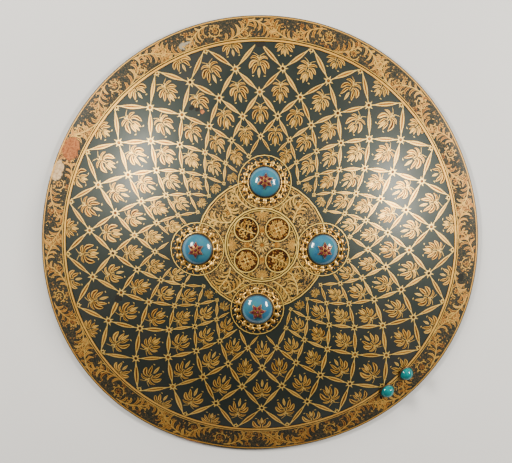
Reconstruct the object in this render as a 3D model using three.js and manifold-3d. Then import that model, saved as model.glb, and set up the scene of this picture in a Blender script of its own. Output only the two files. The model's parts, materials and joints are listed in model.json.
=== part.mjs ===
// Buckler shield: a round domed hide shield with a painted face, four enamelled bosses set
// with stones, two turquoise studs at the rim, and two leather grips inside.
// Millimetres. +Z runs up through the crown, the flat foot of the rim lies on z = 0, and
// angles are counted anticlockwise from +X, seen from above.

import * as THREE from 'three';
import { mergeVertices } from 'three/addons/utils/BufferGeometryUtils.js';
import Module from 'manifold-3d';

const wasm = await Module();
wasm.setup();

// ---- driving dimensions ----
const RIM_RADIUS = 260;
const DOME_RADIUS = 378; // sphere of the outer face
const FLARE_START = 232; // radius where the dome begins to ease outwards
const RIM_SLOPE = 22; // degrees, at the edge
const LIP_HEIGHT = 4;
const LIP_ROUND = 1.2;
const FOOT_WIDTH = 8.5; // flat ring that the shield lies on
const HIDE = 4.5; // wall thickness
// The hide dried out of round: lobes, share of the radius, and direction of the first lobe.
// One lobe sets the crown off the outline's centre.
const WARP = [
  { lobes: 1, amount: 0.0078, angle: 27 },
  { lobes: 2, amount: 0.0024, angle: -14 },
  { lobes: 3, amount: 0.0078, angle: -69 },
  { lobes: 4, amount: 0.0047, angle: 93 },
];
const HIDE_SECTORS = 60;

const BOSSES = [
  { name: 'northeast', radius: 71.5, angle: 42.3, turn: 25 },
  { name: 'northwest', radius: 74, angle: 139, turn: -5 },
  { name: 'southwest', radius: 74.7, angle: 221.1, turn: 8 },
  { name: 'southeast', radius: 70, angle: 310.1, turn: 4 },
];
const CAP_RADIUS = 18.2;
const CAP_SKIRT = 1.6;
const CAP_RISE = 9.6;
const CAP_SECTORS = 20;
const SHANK_RADIUS = 2.2;
const SHANK_CLEARANCE = 0.4;
const SHANK_HEAD_RADIUS = 4.2;
const GAP = 0.35; // between pieces that sit on each other

const COLLAR_INNER = 18.8;
const COLLAR_VALLEY = 23.6;
const COLLAR_TIP = 26.2;
const COLLAR_LEAVES = 16;
const COLLAR_PIERCING = 1.25;
const COLLAR_PIERCING_RING = 21.6;
const COLLAR_THICKNESS = 1.3;

const STAR_TIP = 9.9;
const STAR_VALLEY = 5.6;
const STAR_THICKNESS = 0.8;
const STAR_LIFT = 0.7; // clear of the round cap under its flat facets
const STAR_ARMS = 6;
const KITE = { inner: 2.5, shoulder: 5.2, halfWidth: 2.1, tip: 9.0 };
const CENTRE_STONE = 1.7;
const STONE_RISE = 0.7;

const STUDS = [
  { name: 'right', radius: 235.9, angle: 272.1 },
  { name: 'left', radius: 236.5, angle: 264.7 },
];
const STUD_RADIUS = 8;
const STUD_RISE = 7.6;
const BEZEL_OUTER = 9.6;
const BEZEL_HEIGHT = 1.7;
const STUD_LIFT = 0.9; // the flared rim is hollow under the stud

const GRIP_WIDTH = 26;
const GRIP_THICKNESS = 3.4;
const GRIP_BOW = 36; // how far the grip stands off the hide
const GRIP_TAIL = 13; // leather past each shank
const GRIP_FLAT = 13; // leather that lies on the hide, inwards of each shank
const GRIP_GAP = 0.9;
const GRIP_STEPS = 22;
const ROVE_RADIUS = 8;
const ROVE_THICKNESS = 1.4;

// ---- materials ----
const finish = (colour, roughness, metalness) =>
  new THREE.MeshStandardMaterial({ color: colour, roughness, metalness });
const lacquer = () => finish(0x23292a, 0.35, 0);
const gilt = () => finish(0xc79a4b, 0.35, 0.9);
const enamel = () => finish(0x3f8fb5, 0.15, 0);
const ruby = () => finish(0x8c1f33, 0.1, 0);
const turquoise = () => finish(0x1a8f90, 0.3, 0);
const darkMetal = () => finish(0x3a3028, 0.5, 0.8);
const leather = () => finish(0x5b3420, 0.7, 0);

const radians = THREE.MathUtils.degToRad;

// ---- the hide's face ----
const domeDrop = (r) => DOME_RADIUS - Math.sqrt(DOME_RADIUS ** 2 - r ** 2);
const domeSlope = (r) => r / Math.sqrt(DOME_RADIUS ** 2 - r ** 2);
const FLARE_WIDTH = RIM_RADIUS - FLARE_START;
const EDGE_SLOPE = Math.tan(radians(RIM_SLOPE));

// How far the outer face has fallen below the crown, and how steeply it falls, at radius r.
function faceDrop(r) {
  if (r <= FLARE_START) return domeDrop(r);
  const t = (r - FLARE_START) / FLARE_WIDTH;
  const start = domeSlope(FLARE_START);
  return domeDrop(FLARE_START) + FLARE_WIDTH * (start * t + ((EDGE_SLOPE - start) * t * t) / 2);
}

function faceSlope(r) {
  if (r <= FLARE_START) return domeSlope(r);
  const t = (r - FLARE_START) / FLARE_WIDTH;
  return THREE.MathUtils.lerp(domeSlope(FLARE_START), EDGE_SLOPE, t);
}

const CROWN = faceDrop(RIM_RADIUS) + LIP_HEIGHT;
const SPHERE_CENTRE = CROWN - DOME_RADIUS;
const faceHeight = (r) => CROWN - faceDrop(r);

// The share by which the rim stands in or out at this angle; it fades towards the crown.
function warpAt(x, y) {
  const angle = Math.atan2(y, x);
  const share = WARP.reduce(
    (sum, w) => sum + w.amount * Math.cos(w.lobes * (angle - radians(w.angle))),
    0,
  );
  return 1 + share * ((x * x + y * y) / RIM_RADIUS ** 2);
}

function warpPoint(v) {
  const k = warpAt(v.x, v.y);
  v.x *= k;
  v.y *= k;
  return v;
}

// Moves every vertex of a geometry by a function and gives it back.
function reshape(geometry, move) {
  const position = geometry.attributes.position;
  const v = new THREE.Vector3();
  for (let i = 0; i < position.count; i += 1) {
    move(v.fromBufferAttribute(position, i));
    position.setXYZ(i, v.x, v.y, v.z);
  }
  return geometry;
}

// A lathe turned about +Z from a list of [radius, height].
function turned(points, sectors) {
  const profile = points.map(([r, h]) => new THREE.Vector2(r, h));
  return new THREE.LatheGeometry(profile, sectors).rotateX(Math.PI / 2);
}

// ---- booleans ----
function toSolid(geometry) {
  const bare = geometry.clone();
  bare.deleteAttribute('normal');
  bare.deleteAttribute('uv');
  const merged = mergeVertices(bare, 1e-4);
  const mesh = new wasm.Mesh({
    numProp: 3,
    vertProperties: new Float32Array(merged.attributes.position.array),
    triVerts: new Uint32Array(merged.index.array),
  });
  mesh.merge();
  return new wasm.Manifold(mesh);
}

function toGeometry(solid) {
  const mesh = solid.getMesh();
  const geometry = new THREE.BufferGeometry();
  geometry.setAttribute('position', new THREE.BufferAttribute(mesh.vertProperties, 3));
  geometry.setIndex(new THREE.BufferAttribute(mesh.triVerts, 1));
  geometry.computeVertexNormals();
  return geometry;
}

const drill = (geometry, cutters) =>
  toGeometry(cutters.reduce((solid, c) => solid.subtract(toSolid(c)), toSolid(geometry)));

// ---- places on the face ----
// A frame that stands on the outer face, its Z along the face's outward normal.
function seatOnFace({ radius, angle }, turn = 0) {
  const out = radians(angle);
  const slope = faceSlope(radius);
  const normal = new THREE.Vector3(slope * Math.cos(out), slope * Math.sin(out), 1).normalize();
  const around = new THREE.Vector3(-Math.sin(out), Math.cos(out), 0);
  const up = new THREE.Vector3().crossVectors(normal, around);
  const foot = new THREE.Vector3(radius * Math.cos(out), radius * Math.sin(out), 0);
  warpPoint(foot).setZ(faceHeight(radius));
  const seat = new THREE.Group();
  seat.matrixAutoUpdate = false;
  seat.matrix.makeBasis(around.negate(), up.negate(), normal);
  seat.matrix.multiply(new THREE.Matrix4().makeRotationZ(radians(turn)));
  seat.matrix.setPosition(foot);
  seat.matrix.decompose(seat.position, seat.quaternion, seat.scale);
  seat.matrixAutoUpdate = true;
  return seat;
}

function addPiece(parent, name, geometry, material) {
  const mesh = new THREE.Mesh(geometry, material);
  mesh.name = name;
  parent.add(mesh);
}

// ---- hide ----
function hideProfile() {
  const outerSteps = 11;
  const innerSteps = 8;
  const profile = [];
  for (let i = 0; i <= outerSteps; i += 1) {
    const r = (RIM_RADIUS * i) / outerSteps;
    profile.push([r, faceHeight(r)]);
  }
  const footInner = RIM_RADIUS - LIP_ROUND - FOOT_WIDTH;
  profile.push([RIM_RADIUS, LIP_ROUND]);
  profile.push([RIM_RADIUS - LIP_ROUND, 0]);
  profile.push([footInner, 0]);
  for (let i = innerSteps; i >= 0; i -= 1) {
    const r = (footInner * i) / innerSteps;
    const slope = faceSlope(r);
    const length = Math.hypot(slope, 1);
    profile.push([r - (HIDE * slope) / length, faceHeight(r) - HIDE / length]);
  }
  return profile.reverse();
}

function makeHide() {
  const shell = reshape(turned(hideProfile(), HIDE_SECTORS), warpPoint);
  const holes = BOSSES.map((boss) => {
    const seat = seatOnFace(boss);
    seat.updateMatrix();
    const hole = new THREE.CylinderGeometry(
      SHANK_RADIUS + SHANK_CLEARANCE,
      SHANK_RADIUS + SHANK_CLEARANCE,
      6 * HIDE,
      10,
    );
    return hole.rotateX(Math.PI / 2).applyMatrix4(seat.matrix);
  });
  return drill(shell, holes);
}

// ---- bosses ----
const CAP_SPHERE = (CAP_RADIUS ** 2 + CAP_RISE ** 2) / (2 * CAP_RISE);
const CAP_TOP = GAP + CAP_SKIRT + CAP_RISE;
const capHeight = (r) => CAP_TOP - CAP_SPHERE + Math.sqrt(CAP_SPHERE ** 2 - r ** 2);

// The cap and the shank that clenches it through the hide, the grip and the rove.
function capGeometry() {
  const gripBack = -HIDE - GRIP_GAP - GRIP_THICKNESS;
  const roveBack = gripBack - GAP - ROVE_THICKNESS;
  const head = roveBack - GAP;
  const points = [
    [0, head - 2],
    [SHANK_HEAD_RADIUS * 0.6, head - 1.7],
    [SHANK_HEAD_RADIUS, head - 0.5],
    [SHANK_HEAD_RADIUS, head],
    [SHANK_RADIUS, head],
    [SHANK_RADIUS, GAP],
    [CAP_RADIUS, GAP],
  ];
  const rings = 5;
  for (let i = rings; i >= 0; i -= 1) {
    const r = (CAP_RADIUS * i) / rings;
    points.push([r, capHeight(r)]);
  }
  return turned(points, CAP_SECTORS);
}

// Lays a flat sheet, drawn about a boss's axis, on the hide's dome under that boss.
const layOnDome = (v) => v.setZ(v.z - domeDrop(Math.hypot(v.x, v.y)));

function collarGeometry() {
  const outline = new THREE.Shape();
  const steps = COLLAR_LEAVES * 3;
  for (let i = 0; i < steps; i += 1) {
    const angle = (2 * Math.PI * i) / steps;
    const lobe = Math.cos((COLLAR_LEAVES * angle) / 2) ** 2;
    const r = THREE.MathUtils.lerp(COLLAR_VALLEY, COLLAR_TIP, lobe);
    const x = r * Math.cos(angle);
    const y = r * Math.sin(angle);
    if (i === 0) outline.moveTo(x, y);
    else outline.lineTo(x, y);
  }
  outline.closePath();
  outline.holes.push(new THREE.Path().absarc(0, 0, COLLAR_INNER, 0, 2 * Math.PI, true));
  for (let i = 0; i < COLLAR_LEAVES; i += 1) {
    const angle = (2 * Math.PI * (i + 0.5)) / COLLAR_LEAVES;
    const hole = new THREE.Path();
    for (let corner = 0; corner < 4; corner += 1) {
      const turn = angle - (Math.PI * corner) / 2;
      const x = COLLAR_PIERCING_RING * Math.cos(angle) + COLLAR_PIERCING * Math.cos(turn);
      const y = COLLAR_PIERCING_RING * Math.sin(angle) + COLLAR_PIERCING * Math.sin(turn);
      if (corner === 0) hole.moveTo(x, y);
      else hole.lineTo(x, y);
    }
    hole.closePath();
    outline.holes.push(hole);
  }
  const settings = { depth: COLLAR_THICKNESS, bevelEnabled: false, curveSegments: 9 };
  const sheet = new THREE.ExtrudeGeometry(outline, settings).translate(0, 0, GAP + 0.1);
  return reshape(sheet, layOnDome);
}

const capDrop = (r) => capHeight(0) - capHeight(r);
const layOnCap = (v) => v.setZ(v.z + CAP_TOP - capDrop(Math.hypot(v.x, v.y)));

// The kite cell or stone of one star arm, drawn in by a margin.
function kitePoints(angle, margin) {
  const corners = [
    [KITE.inner + 1.6 * margin, 0],
    [KITE.shoulder, -KITE.halfWidth + margin],
    [KITE.tip - 2.4 * margin, 0],
    [KITE.shoulder, KITE.halfWidth - margin],
  ];
  const c = Math.cos(angle);
  const s = Math.sin(angle);
  return corners.map(([x, y]) => new THREE.Vector2(x * c - y * s, x * s + y * c));
}

const roundPoints = (radius, count) =>
  Array.from({ length: count }, (_, i) => {
    const angle = (2 * Math.PI * i) / count;
    return new THREE.Vector2(radius * Math.cos(angle), radius * Math.sin(angle));
  });

const armAngle = (arm) => (2 * Math.PI * arm) / STAR_ARMS;

function starGeometry() {
  const tips = [];
  for (let i = 0; i < 2 * STAR_ARMS; i += 1) {
    const r = i % 2 ? STAR_VALLEY : STAR_TIP;
    const angle = (Math.PI * i) / STAR_ARMS;
    tips.push(new THREE.Vector2(r * Math.cos(angle), r * Math.sin(angle)));
  }
  const outline = new THREE.Shape(tips);
  for (let arm = 0; arm < STAR_ARMS; arm += 1) {
    outline.holes.push(new THREE.Path(kitePoints(armAngle(arm), 0).reverse()));
  }
  outline.holes.push(new THREE.Path(roundPoints(CENTRE_STONE + GAP, 8).reverse()));
  const settings = { depth: STAR_THICKNESS, bevelEnabled: false };
  const plate = new THREE.ExtrudeGeometry(outline, settings).translate(0, 0, STAR_LIFT);
  return reshape(plate, layOnCap);
}

// A cut stone: girdle, crown slopes and table, as a stack of shrinking outlines.
function stoneGeometry(outlineAt) {
  const levels = [
    { margin: 0, height: STAR_LIFT },
    { margin: 0, height: STAR_LIFT + STAR_THICKNESS },
    { margin: 1, height: STAR_LIFT + STAR_THICKNESS + STONE_RISE },
  ];
  const count = outlineAt(0).length;
  const positions = [];
  const index = [];
  levels.forEach(({ margin, height }) => {
    outlineAt(margin).forEach((p) => positions.push(p.x, p.y, height));
  });
  for (let level = 0; level < levels.length - 1; level += 1) {
    for (let i = 0; i < count; i += 1) {
      const a = level * count + i;
      const b = level * count + ((i + 1) % count);
      index.push(a, b, a + count, b, b + count, a + count);
    }
  }
  const top = (levels.length - 1) * count;
  for (let i = 1; i < count - 1; i += 1) {
    index.push(0, i + 1, i);
    index.push(top, top + i, top + i + 1);
  }
  const geometry = new THREE.BufferGeometry();
  geometry.setAttribute('position', new THREE.Float32BufferAttribute(positions, 3));
  geometry.setIndex(index);
  geometry.computeVertexNormals();
  return reshape(geometry, layOnCap);
}

function addBoss(shield, boss) {
  const seat = seatOnFace(boss, boss.turn);
  const prefix = `boss_${boss.name}`;
  addPiece(seat, `${prefix}_cap`, capGeometry(), enamel());
  addPiece(seat, `${prefix}_collar`, collarGeometry(), gilt());
  addPiece(seat, `${prefix}_star`, starGeometry(), gilt());
  for (let arm = 0; arm < STAR_ARMS; arm += 1) {
    const outlineAt = (margin) => kitePoints(armAngle(arm), GAP + 0.5 * margin);
    addPiece(seat, `${prefix}_ruby_${arm + 1}`, stoneGeometry(outlineAt), ruby());
  }
  const round = (margin) => roundPoints(CENTRE_STONE - 0.7 * margin, 8);
  addPiece(seat, `${prefix}_ruby_centre`, stoneGeometry(round), ruby());
  addPiece(seat, `${prefix}_rove`, roveGeometry(), darkMetal());
  shield.add(seat);
}

function roveGeometry() {
  const bottom = -HIDE - GRIP_GAP - GRIP_THICKNESS - GAP - ROVE_THICKNESS;
  const inner = SHANK_RADIUS + SHANK_CLEARANCE;
  const top = bottom + ROVE_THICKNESS;
  const edge = ROVE_RADIUS - 0.5;
  return turned([
    [inner, bottom],
    [edge, bottom],
    [ROVE_RADIUS, bottom + 0.5],
    [ROVE_RADIUS, top],
    [inner, top],
    [inner, bottom],
  ], 12);
}

// ---- studs ----
function studGeometry() {
  const sphere = (STUD_RADIUS ** 2 + STUD_RISE ** 2) / (2 * STUD_RISE);
  const rings = 4;
  const points = [[0, GAP + 0.1]];
  for (let i = rings; i >= 0; i -= 1) {
    const r = (STUD_RADIUS * i) / rings;
    points.push([r, GAP + 1 + STUD_RISE - sphere + Math.sqrt(sphere ** 2 - r ** 2)]);
    if (i === rings) points.splice(1, 0, [r, GAP + 0.1]);
  }
  return turned(points, 16);
}

function bezelGeometry() {
  const inner = STUD_RADIUS + GAP;
  return turned([
    [inner, GAP],
    [BEZEL_OUTER, GAP],
    [BEZEL_OUTER - 0.3, BEZEL_HEIGHT - 0.4],
    [inner + 0.3, BEZEL_HEIGHT],
    [inner, GAP],
  ], 16);
}

function addStud(shield, stud) {
  const seat = seatOnFace(stud);
  seat.translateZ(STUD_LIFT);
  addPiece(seat, `stud_${stud.name}_turquoise`, studGeometry(), turquoise());
  addPiece(seat, `stud_${stud.name}_bezel`, bezelGeometry(), darkMetal());
  shield.add(seat);
}

// ---- grips ----
// A strap from one shank to another, in the plane of both shanks and the sphere's centre.
function gripGeometry(bossA, bossB) {
  const centre = new THREE.Vector3(0, 0, SPHERE_CENTRE);
  const seats = [bossA, bossB].map((boss) => seatOnFace(boss));
  const rays = seats.map((seat) => seat.position.clone().sub(centre).normalize());
  const middle = rays[0].clone().add(rays[1]).normalize();
  const across = rays[0].clone().cross(rays[1]).normalize();
  const along = across.clone().cross(middle);
  const back = DOME_RADIUS - HIDE - GRIP_GAP - GRIP_THICKNESS / 2;
  const half = rays[0].angleTo(rays[1]) / 2;
  const tail = half + GRIP_TAIL / back;
  const bowStart = half - GRIP_FLAT / back;

  const centreLine = [];
  for (let i = 0; i <= GRIP_STEPS; i += 1) {
    const angle = tail * ((2 * i) / GRIP_STEPS - 1);
    const inBow = Math.min(Math.abs(angle) / bowStart, 1);
    const reach = back - GRIP_BOW * Math.cos((Math.PI / 2) * inBow) ** 2;
    centreLine.push(new THREE.Vector2(reach * Math.sin(angle), reach * Math.cos(angle)));
  }
  const sides = [1, -1].map((side) => centreLine.map((p, i) => {
    const before = centreLine[Math.max(i - 1, 0)];
    const after = centreLine[Math.min(i + 1, GRIP_STEPS)];
    const run = after.clone().sub(before).normalize();
    const offset = new THREE.Vector2(-run.y, run.x).multiplyScalar((side * GRIP_THICKNESS) / 2);
    return p.clone().add(offset);
  }));
  const outline = new THREE.Shape([...sides[0], ...sides[1].reverse()]);
  const settings = { depth: GRIP_WIDTH, bevelEnabled: false };
  const strap = new THREE.ExtrudeGeometry(outline, settings).translate(0, 0, -GRIP_WIDTH / 2);
  const basis = new THREE.Matrix4().makeBasis(along, middle, along.clone().cross(middle));
  strap.applyMatrix4(basis.setPosition(centre));
  const holes = seats.map((seat) => {
    seat.updateMatrix();
    const r = SHANK_RADIUS + SHANK_CLEARANCE;
    return new THREE.CylinderGeometry(r, r, 40, 10).rotateX(Math.PI / 2).applyMatrix4(seat.matrix);
  });
  return drill(strap, holes);
}

// ---- assembly ----
const shield = new THREE.Group();
addPiece(shield, 'hide_shell', makeHide(), lacquer());
BOSSES.forEach((boss) => addBoss(shield, boss));
STUDS.forEach((stud) => addStud(shield, stud));
addPiece(shield, 'grip_north', gripGeometry(BOSSES[0], BOSSES[1]), leather());
addPiece(shield, 'grip_south', gripGeometry(BOSSES[2], BOSSES[3]), leather());

export default shield;
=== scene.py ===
import json
import math
import random

import bmesh
import bpy
import numpy as np
from mathutils import Matrix, Vector

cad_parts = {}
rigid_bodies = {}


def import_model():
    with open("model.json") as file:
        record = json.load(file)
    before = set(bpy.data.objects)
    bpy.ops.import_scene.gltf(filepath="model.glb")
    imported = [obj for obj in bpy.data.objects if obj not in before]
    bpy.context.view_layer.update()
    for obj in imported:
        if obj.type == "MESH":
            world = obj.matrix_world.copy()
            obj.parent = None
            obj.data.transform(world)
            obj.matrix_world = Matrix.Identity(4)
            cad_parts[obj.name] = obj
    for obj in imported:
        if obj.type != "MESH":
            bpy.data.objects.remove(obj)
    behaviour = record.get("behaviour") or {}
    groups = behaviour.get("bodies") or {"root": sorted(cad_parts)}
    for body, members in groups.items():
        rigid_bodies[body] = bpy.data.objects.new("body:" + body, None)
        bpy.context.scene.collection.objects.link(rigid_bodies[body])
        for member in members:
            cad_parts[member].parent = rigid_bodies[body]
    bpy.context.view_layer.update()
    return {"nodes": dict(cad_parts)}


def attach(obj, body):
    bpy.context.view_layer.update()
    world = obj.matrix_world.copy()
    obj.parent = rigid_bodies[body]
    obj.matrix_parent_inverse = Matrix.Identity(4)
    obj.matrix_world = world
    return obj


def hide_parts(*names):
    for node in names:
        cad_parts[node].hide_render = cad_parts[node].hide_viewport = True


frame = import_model()
nodes = frame["nodes"]

# ---- sizes, in metres; angles in degrees, anticlockwise from +X, seen from above ----
RIM = 0.260
DOME = 0.378  # sphere of the outer face
FLARE_START = 0.232
RIM_SLOPE = math.tan(math.radians(22))
LIP = 0.004
LIP_ROUND = 0.0012
FOOT = 0.0085
HIDE = 0.0045
WARP = ((1, 0.0078, 27), (2, 0.0024, -14), (3, 0.0078, -69), (4, 0.0047, 93))
FIT = 0.9993  # keeps the smooth outline inside the faceted one

BOSSES = {
    "northeast": (0.0715, 42.3, 25),
    "northwest": (0.0740, 139.0, -5),
    "southwest": (0.0747, 221.1, 8),
    "southeast": (0.0700, 310.1, 4),
}
STUDS = {"right": (0.2359, 272.1), "left": (0.2365, 264.7)}
STUD_LIFT = 0.0009
STUD_RADIUS = 0.0080
STUD_RISE = 0.0076
BEZEL_OUTER = 0.0096

LATTICE_STARTS = 23  # curves of each hand that start at the border
STEP = 360 / LATTICE_STARTS
LATTICE_TURN = -1.5
ROWS = [0.2310 - 0.0312 * k + 0.001067 * k * k for k in range(7)]
BORDER_OUTER = 0.2578
BORDER_INNER = ROWS[0]
MEDALLION = 0.0745
INNER_RING = 0.0422
ROUNDELS = 0.0252  # from the crown to the middle of each of the four roundels
ROUNDEL = 0.0138
BOSS_RING = 0.0304  # the ring painted round each boss

# How near the middle of a boss each kind of painting may come.
CLEAR = {
    "node": 0.0325,
    "bar": 0.0320,
    "bar end": 0.0315,
    "spray": 0.0360,
    "plume": 0.0310,
    "scroll": 0.0300,
    "leaflet": 0.0270,
}

TAU = 2 * math.pi
rng = random.Random(23)


def polar(radius, angle):
    a = math.radians(angle)
    return np.array((radius * math.cos(a), radius * math.sin(a)))


# ---- the hide's face ----
FLARE_WIDTH = RIM - FLARE_START
START_SLOPE = FLARE_START / math.sqrt(DOME**2 - FLARE_START**2)


def face_drop(r):
    """How far the outer face has fallen below the crown at a plan radius, or an array of them."""
    r = np.asarray(r, float)
    on_dome = DOME - np.sqrt(DOME**2 - np.minimum(r, FLARE_START) ** 2)
    t = np.maximum(r - FLARE_START, 0) / FLARE_WIDTH
    return on_dome + FLARE_WIDTH * (START_SLOPE * t + (RIM_SLOPE - START_SLOPE) * t * t / 2)


CROWN = LIP + float(face_drop(RIM))


def face_height(r):
    return CROWN - face_drop(r)


def face_slope(r):
    r = np.asarray(r, float)
    flat = np.minimum(r, FLARE_START)
    t = np.maximum(r - FLARE_START, 0) / FLARE_WIDTH
    flared = START_SLOPE + (RIM_SLOPE - START_SLOPE) * t
    return np.where(r < FLARE_START, flat / np.sqrt(DOME**2 - flat**2), flared)


def warped(points):
    """Moves plan points to where the hide dried out of round."""
    x, y = points[:, 0], points[:, 1]
    angle = np.arctan2(y, x)
    share = sum(a * np.cos(n * (angle - math.radians(d))) for n, a, d in WARP)
    k = FIT * (1 + share * (x * x + y * y) / RIM**2)
    out = points.copy()
    out[:, 0] *= k
    out[:, 1] *= k
    return out


def laid_on_face(plan, lift):
    """Plan points (n, 2) and their lifts off the face (n) as points in space."""
    r = np.hypot(plan[:, 0], plan[:, 1])
    slope = face_slope(r)
    length = np.sqrt(1 + slope**2)
    out = np.divide(plan, r[:, None], out=np.zeros_like(plan), where=r[:, None] > 1e-9)
    moved = plan + out * (slope / length * lift)[:, None]
    height = face_height(r) + lift / length
    return warped(np.column_stack([moved, height]))


def seat_matrix(radius, angle, turn=0, lift=0):
    """A frame standing on the face at a place, Z along the face's normal."""
    slope = float(face_slope(radius))
    out = Vector((*polar(1, angle), 0))
    normal = (Vector((0, 0, 1)) + out * slope).normalized()
    across = Vector((out.y, -out.x, 0))
    up = normal.cross(across)
    foot = warped(np.array([[*polar(radius, angle), float(face_height(radius))]]))[0]
    basis = Matrix((across, up, normal)).transposed().to_4x4()
    spin = Matrix.Rotation(math.radians(turn), 4, "Z")
    return Matrix.Translation(Vector(foot) + normal * lift) @ basis @ spin


# ---- shader expressions ----
class Value:
    """A number, colour or vector socket of a material; sums on numbers add Math nodes."""

    def __init__(self, finish, socket):
        self.finish = finish
        self.socket = socket

    def maths(self, operation, *others):
        return self.finish.node("ShaderNodeMath", {"operation": operation}, *others)

    def __add__(self, other):
        return self.maths("ADD", self, other)

    def __radd__(self, other):
        return self.maths("ADD", other, self)

    def __sub__(self, other):
        return self.maths("SUBTRACT", self, other)

    def __rsub__(self, other):
        return self.maths("SUBTRACT", other, self)

    def __mul__(self, other):
        return self.maths("MULTIPLY", self, other)

    def __rmul__(self, other):
        return self.maths("MULTIPLY", other, self)

    def __truediv__(self, other):
        return self.maths("DIVIDE", self, other)

    def __pow__(self, other):
        return self.maths("POWER", self, other)

    def least(self, other):
        return self.maths("MINIMUM", self, other)

    def most(self, other):
        return self.maths("MAXIMUM", self, other)

    def step(self, low, high):
        """0 below low, 1 above high, smooth between."""
        settings = {"interpolation_type": "SMOOTHSTEP"}
        return self.finish.node("ShaderNodeMapRange", settings, self, low, high, 0.0, 1.0)


class Finish:
    """A material in the making."""

    def __init__(self, name):
        self.material = bpy.data.materials.new(name)
        self.material.use_nodes = True
        self.tree = self.material.node_tree
        self.shader = self.tree.nodes["Principled BSDF"]

    def node(self, kind, settings, *values, output=0, **named):
        made = self.tree.nodes.new(kind)
        for key, value in settings.items():
            if key == "stops":
                ramp = made.color_ramp
                while len(ramp.elements) < len(value):
                    ramp.elements.new(1.0)
                for element, (place, colour) in zip(ramp.elements, value):
                    element.position = place
                    element.color = (*colour, 1)
            else:
                setattr(made, key, value)
        for i, value in enumerate(values):
            self.feed(made.inputs[i], value)
        for key, value in named.items():
            self.feed(made.inputs[key.replace("_", " ")], value)
        return Value(self, made.outputs[output])

    def feed(self, socket, value):
        if isinstance(value, Value):
            self.tree.links.new(value.socket, socket)
        elif value is not None:
            socket.default_value = value

    def place(self):
        return self.node("ShaderNodeTexCoord", {}, output="Object")

    def attribute(self, name):
        return self.node("ShaderNodeAttribute", {"attribute_name": name}, output="Fac")

    def axes(self, vector):
        split = self.tree.nodes.new("ShaderNodeSeparateXYZ")
        self.feed(split.inputs[0], vector)
        return [Value(self, out) for out in split.outputs]

    def noise(self, scale, detail=3.0, roughness=0.55):
        sockets = {"Vector": self.place(), "Scale": scale, "Detail": detail, "Roughness": roughness}
        return self.node("ShaderNodeTexNoise", {}, **sockets)

    def cell_edges(self, scale, **sockets):
        """Distance to the nearest edge between random cells."""
        settings = {"feature": "DISTANCE_TO_EDGE"}
        return self.node("ShaderNodeTexVoronoi", settings, Scale=scale, **sockets)

    def ramp(self, value, *stops):
        return self.node("ShaderNodeValToRGB", {"stops": stops}, value)

    def blend(self, amount, first, second):
        mixed = self.tree.nodes.new("ShaderNodeMix")
        mixed.data_type = "RGBA"
        for key, value in (("Factor_Float", amount), ("A_Color", first), ("B_Color", second)):
            socket = next(s for s in mixed.inputs if s.identifier == key)
            if isinstance(value, tuple):
                value = (*value, 1)
            self.feed(socket, value)
        return Value(self, next(s for s in mixed.outputs if s.identifier == "Result_Color"))

    def bump(self, height, strength, distance):
        return self.node("ShaderNodeBump", {}, Height=height, Strength=strength, Distance=distance)

    def set(self, **sockets):
        for key, value in sockets.items():
            socket = self.shader.inputs[key.replace("_", " ")]
            if isinstance(value, tuple) and len(value) == 3:
                value = (*value, 1)
            self.feed(socket, value)
        return self.material


# ---- finishes ----
STAR_SHADE = (0.60, 0.46, 0.62)  # the stars are of a redder gold
BORDER_SHADE = (0.58, 0.52, 0.42)  # the border's gold is duller
# Worn places: kind, angle, plan radius, half length round the rim, half width.
WEAR = (
    ("loss", 116.5, 0.2515, 0.013, 0.0075),
    ("bared", 109.5, 0.2470, 0.016, 0.0120),
    ("chip", 45.0, 0.2290, 0.007, 0.0045),
    ("chip", 72.3, 0.1745, 0.0036, 0.0026),
    ("chip", 70.4, 0.1700, 0.0032, 0.0022),
    ("bared", 69.2, 0.1655, 0.0026, 0.0026),
    ("scuff", 66.0, 0.2430, 0.012, 0.0042),
    ("chip", 157.0, 0.1790, 0.004, 0.005),
    ("chip", 303.7, 0.2430, 0.005, 0.004),
    ("bared", 207.0, 0.2585, 0.012, 0.003),
)


def wear_mask(f, kind):
    """Where the wear of one kind shows, 0 to 1, with ragged edges."""
    x, y, _ = f.axes(f.place())
    ragged = f.noise(190.0, 4.0, 0.65) - 0.5
    total = None
    for name, angle, radius, half_length, half_width in WEAR:
        if name != kind:
            continue
        cx, cy = polar(radius, angle)
        c, s = (float(share) for share in polar(1, angle))
        out = (x - cx) * c + (y - cy) * s
        along = (y - cy) * c - (x - cx) * s
        reach = ((out / half_width) ** 2 + (along / half_length) ** 2) ** 0.5 + ragged * 1.5
        mask = 1 - reach.step(0.86, 1.02)
        total = mask if total is None else total.most(mask)
    return total


def filigree(f):
    """Fine curling foliage: 1 on the small leaves, 0 in the lines between them."""
    place = f.place()
    curl = f.node("ShaderNodeTexNoise", {}, Vector=place, Scale=210.0, Detail=1.0, output="Color")
    curl = f.node("ShaderNodeVectorMath", {"operation": "SCALE"}, curl, Scale=0.0075)
    bent = f.node("ShaderNodeVectorMath", {"operation": "ADD"}, place, curl)
    return f.cell_edges(400.0, Vector=bent).step(0.09, 0.22)


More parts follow.
